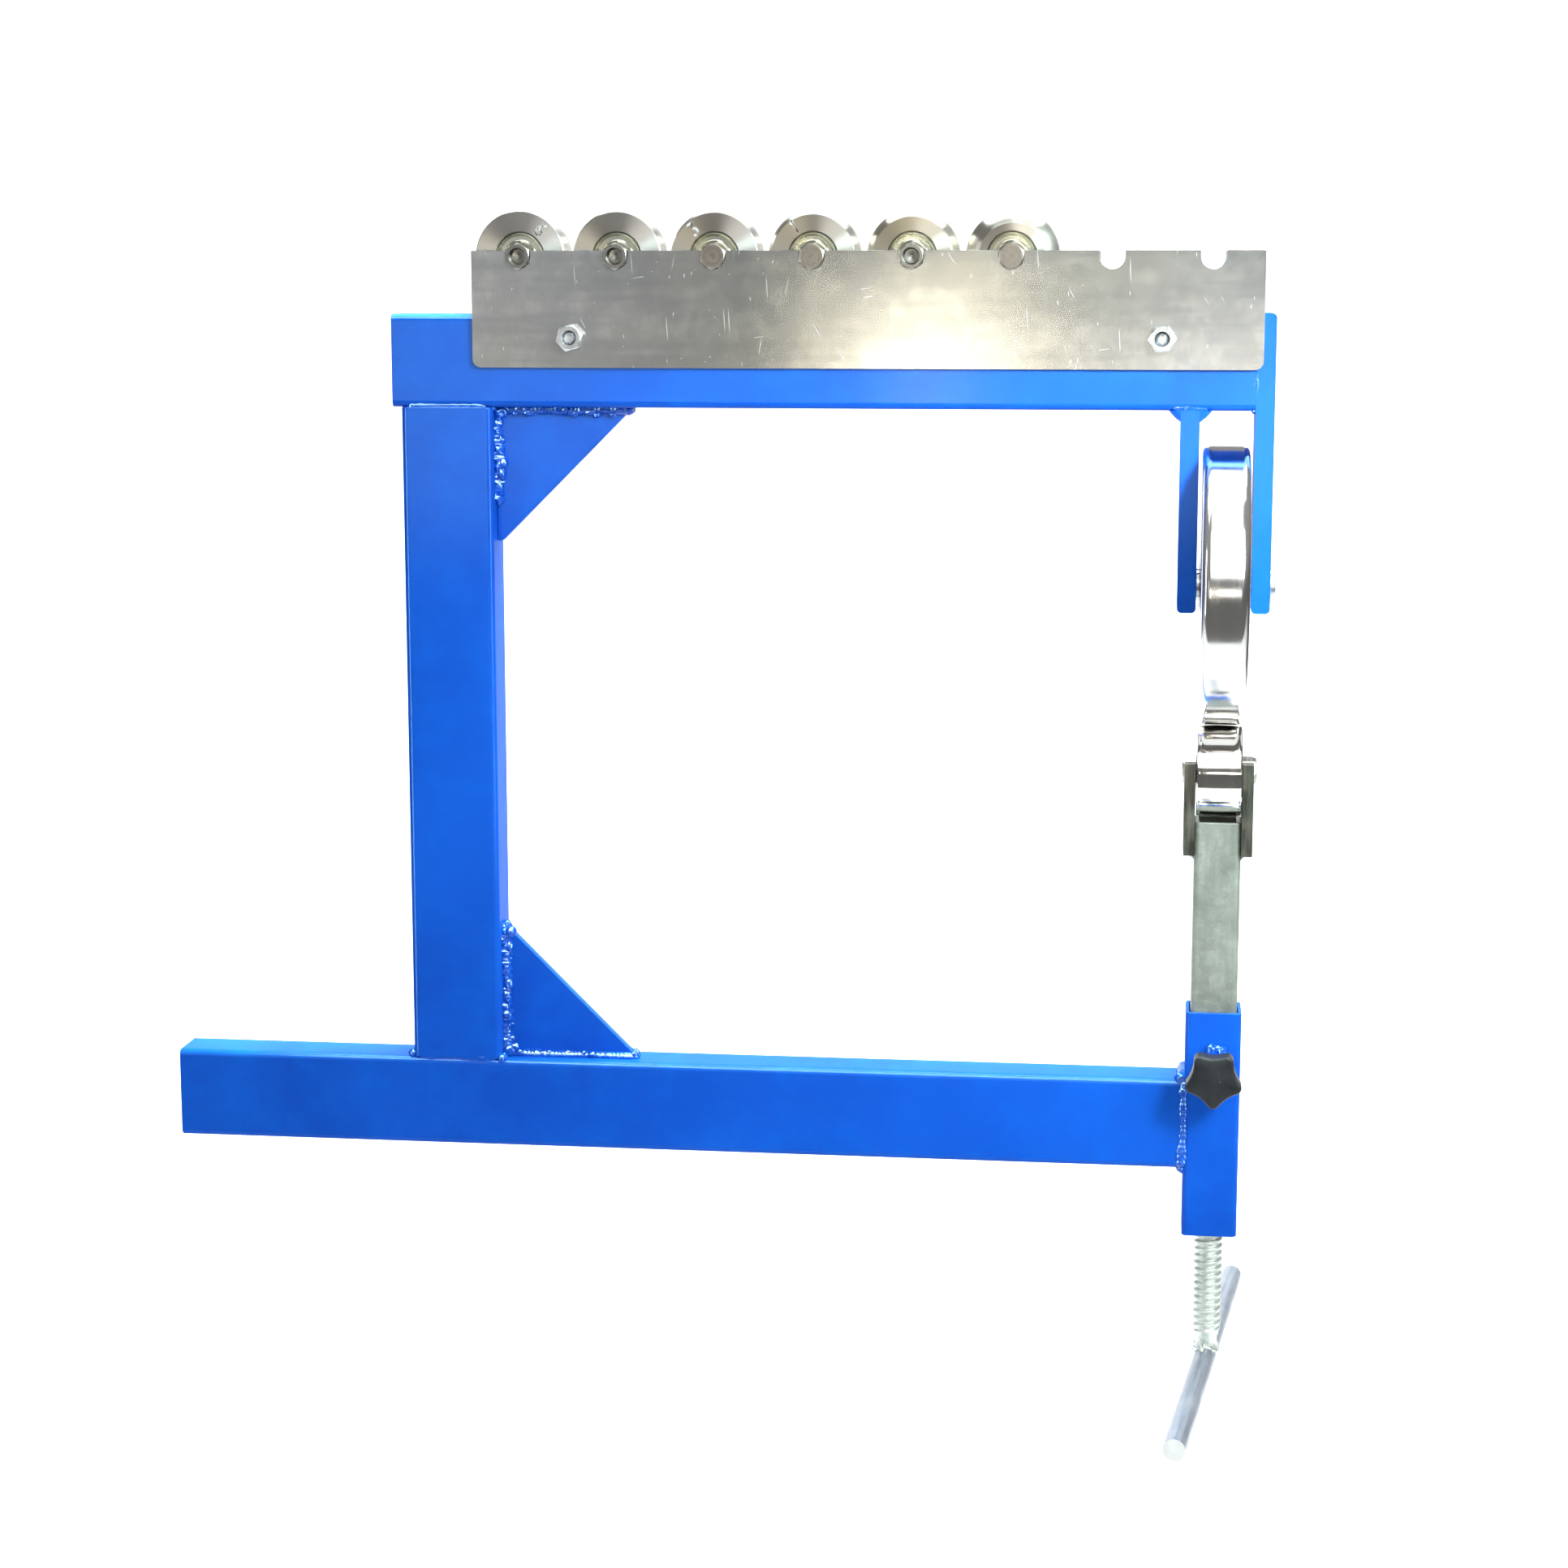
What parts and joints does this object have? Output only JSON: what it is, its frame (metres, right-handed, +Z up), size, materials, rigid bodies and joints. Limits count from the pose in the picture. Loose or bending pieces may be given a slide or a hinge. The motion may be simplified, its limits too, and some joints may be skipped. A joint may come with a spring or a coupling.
{
  "type": "bench english wheel",
  "caption": "Vise-held english wheel: welded C-frame with a large upper wheel in a fork, a screw-lifted post with an anvil cradle, and a rack of crowned anvils.",
  "frame": {"origin": "the middle of the stretch that a vise grips, on the underside of the lower arm, in the middle plane of the frame", "axes": "+X along the arms towards the wheels, +Y from the knob's side to the back, +Z up"},
  "size_m": [0.6085, 0.2893, 0.6355],
  "materials": {
    "frame_paint": "gloss blue paint",
    "rack_plate": "scuffed sheet steel with fine vertical scratches",
    "zinc_hardware": "bright zinc",
    "polished_steel": "polished",
    "bearing_steel": "ground rings with pressed shields",
    "axle_steel": "turned",
    "post_zinc": "mottled galvanised",
    "cradle_steel": "cut plate",
    "screw_zinc": "zinc plated thread",
    "bar_steel": "bare drawn bar",
    "knob_plastic": "black satin plastic"
  },
  "bodies": {
    "frame": {"lower_arm": "frame_paint", "column": "frame_paint", "upper_arm": "frame_paint", "lower_gusset": "frame_paint", "upper_gusset": "frame_paint", "fork_inner_plate": "frame_paint", "fork_outer_plate": "frame_paint", "frame_welds": "frame_paint", "sleeve": "frame_paint", "sleeve_nut": "zinc_hardware", "lock_nut": "frame_paint", "rack_front_plate": "rack_plate", "rack_rear_plate": "rack_plate", "rack_bolts": "zinc_hardware", "rack_nuts": "zinc_hardware", "upper_axle": "zinc_hardware", "axle_spacers": "zinc_hardware"},
    "upper_wheel": {"upper_wheel": "polished_steel", "upper_wheel_bearings": "bearing_steel"},
    "post": {"post": "post_zinc", "post_plug": "post_zinc", "cradle_left_plate": "cradle_steel", "cradle_right_plate": "cradle_steel", "cradle_welds": "cradle_steel", "work_axle": "axle_steel"},
    "work_anvil": {"work_anvil": "polished_steel", "work_anvil_bearings": "bearing_steel"},
    "screw": {"lift_screw": "screw_zinc", "handle_bar": "bar_steel", "handle_weld": "screw_zinc"},
    "lock": {"lock_knob": "knob_plastic", "lock_stud": "zinc_hardware"},
    "anvil_1_axle": {"anvil_1_axle": "axle_steel"},
    "anvil_1": {"anvil_1": "polished_steel", "anvil_1_bearings": "bearing_steel"},
    "anvil_2_axle": {"anvil_2_axle": "axle_steel"},
    "anvil_2": {"anvil_2": "polished_steel", "anvil_2_bearings": "bearing_steel"},
    "anvil_3_axle": {"anvil_3_axle": "axle_steel"},
    "anvil_3": {"anvil_3": "polished_steel", "anvil_3_bearings": "bearing_steel"},
    "anvil_4_axle": {"anvil_4_axle": "axle_steel"},
    "anvil_4": {"anvil_4": "polished_steel", "anvil_4_bearings": "bearing_steel"},
    "anvil_5_axle": {"anvil_5_axle": "axle_steel"},
    "anvil_5": {"anvil_5": "polished_steel", "anvil_5_bearings": "bearing_steel"},
    "anvil_6_axle": {"anvil_6_axle": "axle_steel"},
    "anvil_6": {"anvil_6": "polished_steel", "anvil_6_bearings": "bearing_steel"}
  },
  "joints": [
    {"name": "upper_wheel_spin", "type": "hinge", "parent": "frame", "child": "upper_wheel", "pos_m": [0.28, 0, 0.32], "axis": [1, 0, 0], "continuous": true},
    {"name": "post_lift", "type": "slide", "parent": "frame", "child": "post", "axis": [0, 0, 1], "range_m": [-0.055, 0.0004]},
    {"name": "screw_turn", "type": "hinge", "parent": "post", "child": "screw", "pos_m": [0.28, 0, 0], "axis": [0, 0, 1], "range_deg": [-4950, 36]},
    {"name": "work_anvil_spin", "type": "hinge", "parent": "post", "child": "work_anvil", "pos_m": [0.28, 0, 0.2195], "axis": [1, 0, 0], "continuous": true},
    {"name": "lock_turn", "type": "hinge", "parent": "frame", "child": "lock", "pos_m": [0.28, -0.05, 0.059], "axis": [0, -1, 0], "range_deg": [0, 720]},
    {"name": "anvil_1_lift", "type": "slide", "parent": "frame", "child": "anvil_1_axle", "axis": [0, 0, 1], "range_m": [0, 0.04]},
    {"name": "anvil_1_spin", "type": "hinge", "parent": "anvil_1_axle", "child": "anvil_1", "pos_m": [-0.0985, 0, 0.4935], "axis": [0, 1, 0], "continuous": true},
    {"name": "anvil_2_lift", "type": "slide", "parent": "frame", "child": "anvil_2_axle", "axis": [0, 0, 1], "range_m": [0, 0.04]},
    {"name": "anvil_2_spin", "type": "hinge", "parent": "anvil_2_axle", "child": "anvil_2", "pos_m": [-0.0457, 0, 0.4935], "axis": [0, 1, 0], "continuous": true},
    {"name": "anvil_3_lift", "type": "slide", "parent": "frame", "child": "anvil_3_axle", "axis": [0, 0, 1], "range_m": [0, 0.04]},
    {"name": "anvil_3_spin", "type": "hinge", "parent": "anvil_3_axle", "child": "anvil_3", "pos_m": [0.0071, 0, 0.4935], "axis": [0, 1, 0], "continuous": true},
    {"name": "anvil_4_lift", "type": "slide", "parent": "frame", "child": "anvil_4_axle", "axis": [0, 0, 1], "range_m": [0, 0.04]},
    {"name": "anvil_4_spin", "type": "hinge", "parent": "anvil_4_axle", "child": "anvil_4", "pos_m": [0.0599, 0, 0.4935], "axis": [0, 1, 0], "continuous": true},
    {"name": "anvil_5_lift", "type": "slide", "parent": "frame", "child": "anvil_5_axle", "axis": [0, 0, 1], "range_m": [0, 0.04]},
    {"name": "anvil_5_spin", "type": "hinge", "parent": "anvil_5_axle", "child": "anvil_5", "pos_m": [0.1127, 0, 0.4935], "axis": [0, 1, 0], "continuous": true},
    {"name": "anvil_6_lift", "type": "slide", "parent": "frame", "child": "anvil_6_axle", "axis": [0, 0, 1], "range_m": [0, 0.04]},
    {"name": "anvil_6_spin", "type": "hinge", "parent": "anvil_6_axle", "child": "anvil_6", "pos_m": [0.1655, 0, 0.4935], "axis": [0, 1, 0], "continuous": true}
  ],
  "couplings": [
    {"joint": "post_lift", "follows": "screw_turn", "m_per_rad": 0.00063662}
  ]
}
